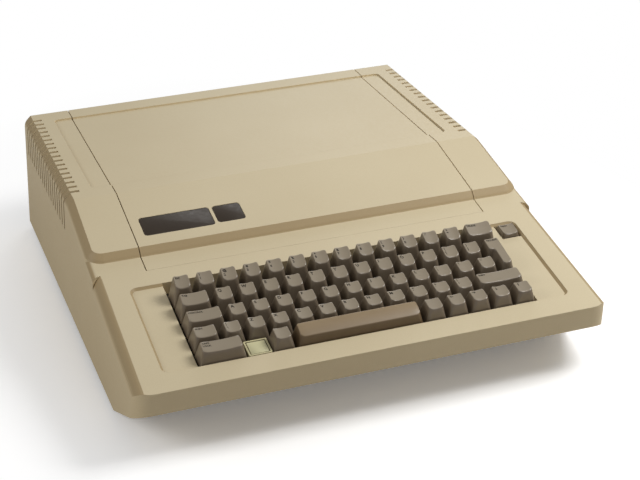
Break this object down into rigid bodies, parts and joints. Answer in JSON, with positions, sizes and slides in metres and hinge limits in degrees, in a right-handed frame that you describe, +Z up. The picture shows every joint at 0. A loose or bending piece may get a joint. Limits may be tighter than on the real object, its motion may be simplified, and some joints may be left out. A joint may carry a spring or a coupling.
{
  "type": "desktop home computer",
  "caption": "Wedge-shaped beige home computer with a built-in keyboard, a lift-off lid over the card slots, side cooling slots and a rear panel",
  "frame": {"origin": "centre of the footprint of the whole machine, at table height under the feet", "axes": "X to the user's right along the keyboard, Y from the keyboard nose to the rear panel, Z up"},
  "size_m": [0.3912, 0.457, 0.1143],
  "materials": {
    "case_plastic": "fine textured moulded plastic",
    "key_plastic": "satin moulded plastic",
    "name_plate": "bare satin plate",
    "lamp_plastic": "satin, slightly translucent",
    "base_metal": "thin even paint",
    "panel_metal": "thin even paint",
    "supply_metal": "folded sheet, lightly brushed",
    "connector_metal": "nickel plated",
    "speaker_metal": "dark paint",
    "circuit_board": "green lacquered board",
    "slot_plastic": "moulded, slightly glossy",
    "chip_plastic": "moulded, matt",
    "dark_plastic": "moulded, satin",
    "foot_rubber": "matt"
  },
  "bodies": {
    "case": {"base_plate": "base_metal", "circuit_chips": "chip_plastic", "expansion_slots": "slot_plastic", "feet": "foot_rubber", "keyboard_frame": "dark_plastic", "lamp_plate": "lamp_plastic", "main_board": "circuit_board", "mains_inlet": "dark_plastic", "port_covers": "dark_plastic", "power_supply": "supply_metal", "rear_connectors": "connector_metal", "rear_panel": "panel_metal", "speaker": "speaker_metal", "top_case": "case_plastic"},
    "lid": {"lid": "case_plastic"},
    "power_switch": {"power_switch": "dark_plastic"},
    "space_bar": {"space_bar": "key_plastic"},
    "return_key": {"return_key": "key_plastic"},
    "number_and_symbol_keys": {"number_and_symbol_keys": "key_plastic"},
    "reset_key": {"reset_key": "key_plastic"},
    "right_shift_key": {"right_shift_key": "key_plastic"},
    "left_shift_key": {"left_shift_key": "key_plastic"},
    "caps_lock_key": {"caps_lock_key": "key_plastic"},
    "control_key": {"control_key": "key_plastic"},
    "tab_key": {"tab_key": "key_plastic"},
    "delete_key": {"delete_key": "key_plastic"},
    "escape_key": {"escape_key": "key_plastic"},
    "left_function_key": {"left_function_key": "key_plastic"},
    "right_function_key": {"right_function_key": "key_plastic"},
    "left_arrow_key": {"left_arrow_key": "key_plastic"},
    "right_arrow_key": {"right_arrow_key": "key_plastic"},
    "down_arrow_key": {"down_arrow_key": "key_plastic"},
    "up_arrow_key": {"up_arrow_key": "key_plastic"},
    "key_a": {"key_a": "key_plastic"},
    "key_b": {"key_b": "key_plastic"},
    "key_c": {"key_c": "key_plastic"},
    "key_d": {"key_d": "key_plastic"},
    "key_e": {"key_e": "key_plastic"},
    "key_f": {"key_f": "key_plastic"},
    "key_g": {"key_g": "key_plastic"},
    "key_h": {"key_h": "key_plastic"},
    "key_i": {"key_i": "key_plastic"},
    "key_j": {"key_j": "key_plastic"},
    "key_k": {"key_k": "key_plastic"},
    "key_l": {"key_l": "key_plastic"},
    "key_m": {"key_m": "key_plastic"},
    "key_n": {"key_n": "key_plastic"},
    "key_o": {"key_o": "key_plastic"},
    "key_p": {"key_p": "key_plastic"},
    "key_q": {"key_q": "key_plastic"},
    "key_r": {"key_r": "key_plastic"},
    "key_s": {"key_s": "key_plastic"},
    "key_t": {"key_t": "key_plastic"},
    "key_u": {"key_u": "key_plastic"},
    "key_v": {"key_v": "key_plastic"},
    "key_w": {"key_w": "key_plastic"},
    "key_x": {"key_x": "key_plastic"},
    "key_y": {"key_y": "key_plastic"},
    "key_z": {"key_z": "key_plastic"}
  },
  "joints": [
    {"name": "lid_lift", "type": "slide", "parent": "case", "child": "lid", "axis": [0, 0, 1], "range_m": [0, 0.12]},
    {"name": "power_switch_rock", "type": "hinge", "parent": "case", "child": "power_switch", "pos_m": [-0.147, 0.2185, 0.0505], "axis": [-1, 0, 0], "range_deg": [0, 16]},
    {"name": "space_bar_press", "type": "slide", "parent": "case", "child": "space_bar", "axis": [0, 0.1865, -0.9825], "range_m": [0, 0.0038], "stiffness_N_per_m": 150, "springref_m": -0.002},
    {"name": "return_key_press", "type": "slide", "parent": "case", "child": "return_key", "axis": [0, 0.1865, -0.9825], "range_m": [0, 0.0038], "stiffness_N_per_m": 150, "springref_m": -0.002},
    {"name": "number_and_symbol_keys_press", "type": "slide", "parent": "case", "child": "number_and_symbol_keys", "axis": [0, 0.1865, -0.9825], "range_m": [0, 0.0038], "stiffness_N_per_m": 600, "springref_m": -0.002},
    {"name": "reset_key_press", "type": "slide", "parent": "case", "child": "reset_key", "axis": [0, 0.1865, -0.9825], "range_m": [0, 0.003], "stiffness_N_per_m": 150, "springref_m": -0.002},
    {"name": "right_shift_key_press", "type": "slide", "parent": "case", "child": "right_shift_key", "axis": [0, 0.1865, -0.9825], "range_m": [0, 0.0038], "stiffness_N_per_m": 150, "springref_m": -0.002},
    {"name": "left_shift_key_press", "type": "slide", "parent": "case", "child": "left_shift_key", "axis": [0, 0.1865, -0.9825], "range_m": [0, 0.0038], "stiffness_N_per_m": 150, "springref_m": -0.002},
    {"name": "caps_lock_key_press", "type": "slide", "parent": "case", "child": "caps_lock_key", "axis": [0, 0.1865, -0.9825], "range_m": [0, 0.0038], "stiffness_N_per_m": 150, "springref_m": -0.002},
    {"name": "control_key_press", "type": "slide", "parent": "case", "child": "control_key", "axis": [0, 0.1865, -0.9825], "range_m": [0, 0.0038], "stiffness_N_per_m": 150, "springref_m": -0.002},
    {"name": "tab_key_press", "type": "slide", "parent": "case", "child": "tab_key", "axis": [0, 0.1865, -0.9825], "range_m": [0, 0.0038], "stiffness_N_per_m": 150, "springref_m": -0.002},
    {"name": "delete_key_press", "type": "slide", "parent": "case", "child": "delete_key", "axis": [0, 0.1865, -0.9825], "range_m": [0, 0.0038], "stiffness_N_per_m": 150, "springref_m": -0.002},
    {"name": "escape_key_press", "type": "slide", "parent": "case", "child": "escape_key", "axis": [0, 0.1865, -0.9825], "range_m": [0, 0.0038], "stiffness_N_per_m": 150, "springref_m": -0.002},
    {"name": "left_function_key_press", "type": "slide", "parent": "case", "child": "left_function_key", "axis": [0, 0.1865, -0.9825], "range_m": [0, 0.0038], "stiffness_N_per_m": 150, "springref_m": -0.002},
    {"name": "right_function_key_press", "type": "slide", "parent": "case", "child": "right_function_key", "axis": [0, 0.1865, -0.9825], "range_m": [0, 0.0038], "stiffness_N_per_m": 150, "springref_m": -0.002},
    {"name": "left_arrow_key_press", "type": "slide", "parent": "case", "child": "left_arrow_key", "axis": [0, 0.1865, -0.9825], "range_m": [0, 0.0038], "stiffness_N_per_m": 150, "springref_m": -0.002},
    {"name": "right_arrow_key_press", "type": "slide", "parent": "case", "child": "right_arrow_key", "axis": [0, 0.1865, -0.9825], "range_m": [0, 0.0038], "stiffness_N_per_m": 150, "springref_m": -0.002},
    {"name": "down_arrow_key_press", "type": "slide", "parent": "case", "child": "down_arrow_key", "axis": [0, 0.1865, -0.9825], "range_m": [0, 0.0038], "stiffness_N_per_m": 150, "springref_m": -0.002},
    {"name": "up_arrow_key_press", "type": "slide", "parent": "case", "child": "up_arrow_key", "axis": [0, 0.1865, -0.9825], "range_m": [0, 0.0038], "stiffness_N_per_m": 150, "springref_m": -0.002},
    {"name": "key_a_press", "type": "slide", "parent": "case", "child": "key_a", "axis": [0, 0.1865, -0.9825], "range_m": [0, 0.0038], "stiffness_N_per_m": 150, "springref_m": -0.002},
    {"name": "key_b_press", "type": "slide", "parent": "case", "child": "key_b", "axis": [0, 0.1865, -0.9825], "range_m": [0, 0.0038], "stiffness_N_per_m": 150, "springref_m": -0.002},
    {"name": "key_c_press", "type": "slide", "parent": "case", "child": "key_c", "axis": [0, 0.1865, -0.9825], "range_m": [0, 0.0038], "stiffness_N_per_m": 150, "springref_m": -0.002},
    {"name": "key_d_press", "type": "slide", "parent": "case", "child": "key_d", "axis": [0, 0.1865, -0.9825], "range_m": [0, 0.0038], "stiffness_N_per_m": 150, "springref_m": -0.002},
    {"name": "key_e_press", "type": "slide", "parent": "case", "child": "key_e", "axis": [0, 0.1865, -0.9825], "range_m": [0, 0.0038], "stiffness_N_per_m": 150, "springref_m": -0.002},
    {"name": "key_f_press", "type": "slide", "parent": "case", "child": "key_f", "axis": [0, 0.1865, -0.9825], "range_m": [0, 0.0038], "stiffness_N_per_m": 150, "springref_m": -0.002},
    {"name": "key_g_press", "type": "slide", "parent": "case", "child": "key_g", "axis": [0, 0.1865, -0.9825], "range_m": [0, 0.0038], "stiffness_N_per_m": 150, "springref_m": -0.002},
    {"name": "key_h_press", "type": "slide", "parent": "case", "child": "key_h", "axis": [0, 0.1865, -0.9825], "range_m": [0, 0.0038], "stiffness_N_per_m": 150, "springref_m": -0.002},
    {"name": "key_i_press", "type": "slide", "parent": "case", "child": "key_i", "axis": [0, 0.1865, -0.9825], "range_m": [0, 0.0038], "stiffness_N_per_m": 150, "springref_m": -0.002},
    {"name": "key_j_press", "type": "slide", "parent": "case", "child": "key_j", "axis": [0, 0.1865, -0.9825], "range_m": [0, 0.0038], "stiffness_N_per_m": 150, "springref_m": -0.002},
    {"name": "key_k_press", "type": "slide", "parent": "case", "child": "key_k", "axis": [0, 0.1865, -0.9825], "range_m": [0, 0.0038], "stiffness_N_per_m": 150, "springref_m": -0.002},
    {"name": "key_l_press", "type": "slide", "parent": "case", "child": "key_l", "axis": [0, 0.1865, -0.9825], "range_m": [0, 0.0038], "stiffness_N_per_m": 150, "springref_m": -0.002},
    {"name": "key_m_press", "type": "slide", "parent": "case", "child": "key_m", "axis": [0, 0.1865, -0.9825], "range_m": [0, 0.0038], "stiffness_N_per_m": 150, "springref_m": -0.002},
    {"name": "key_n_press", "type": "slide", "parent": "case", "child": "key_n", "axis": [0, 0.1865, -0.9825], "range_m": [0, 0.0038], "stiffness_N_per_m": 150, "springref_m": -0.002},
    {"name": "key_o_press", "type": "slide", "parent": "case", "child": "key_o", "axis": [0, 0.1865, -0.9825], "range_m": [0, 0.0038], "stiffness_N_per_m": 150, "springref_m": -0.002},
    {"name": "key_p_press", "type": "slide", "parent": "case", "child": "key_p", "axis": [0, 0.1865, -0.9825], "range_m": [0, 0.0038], "stiffness_N_per_m": 150, "springref_m": -0.002},
    {"name": "key_q_press", "type": "slide", "parent": "case", "child": "key_q", "axis": [0, 0.1865, -0.9825], "range_m": [0, 0.0038], "stiffness_N_per_m": 150, "springref_m": -0.002},
    {"name": "key_r_press", "type": "slide", "parent": "case", "child": "key_r", "axis": [0, 0.1865, -0.9825], "range_m": [0, 0.0038], "stiffness_N_per_m": 150, "springref_m": -0.002},
    {"name": "key_s_press", "type": "slide", "parent": "case", "child": "key_s", "axis": [0, 0.1865, -0.9825], "range_m": [0, 0.0038], "stiffness_N_per_m": 150, "springref_m": -0.002},
    {"name": "key_t_press", "type": "slide", "parent": "case", "child": "key_t", "axis": [0, 0.1865, -0.9825], "range_m": [0, 0.0038], "stiffness_N_per_m": 150, "springref_m": -0.002},
    {"name": "key_u_press", "type": "slide", "parent": "case", "child": "key_u", "axis": [0, 0.1865, -0.9825], "range_m": [0, 0.0038], "stiffness_N_per_m": 150, "springref_m": -0.002},
    {"name": "key_v_press", "type": "slide", "parent": "case", "child": "key_v", "axis": [0, 0.1865, -0.9825], "range_m": [0, 0.0038], "stiffness_N_per_m": 150, "springref_m": -0.002},
    {"name": "key_w_press", "type": "slide", "parent": "case", "child": "key_w", "axis": [0, 0.1865, -0.9825], "range_m": [0, 0.0038], "stiffness_N_per_m": 150, "springref_m": -0.002},
    {"name": "key_x_press", "type": "slide", "parent": "case", "child": "key_x", "axis": [0, 0.1865, -0.9825], "range_m": [0, 0.0038], "stiffness_N_per_m": 150, "springref_m": -0.002},
    {"name": "key_y_press", "type": "slide", "parent": "case", "child": "key_y", "axis": [0, 0.1865, -0.9825], "range_m": [0, 0.0038], "stiffness_N_per_m": 150, "springref_m": -0.002},
    {"name": "key_z_press", "type": "slide", "parent": "case", "child": "key_z", "axis": [0, 0.1865, -0.9825], "range_m": [0, 0.0038], "stiffness_N_per_m": 150, "springref_m": -0.002}
  ]
}
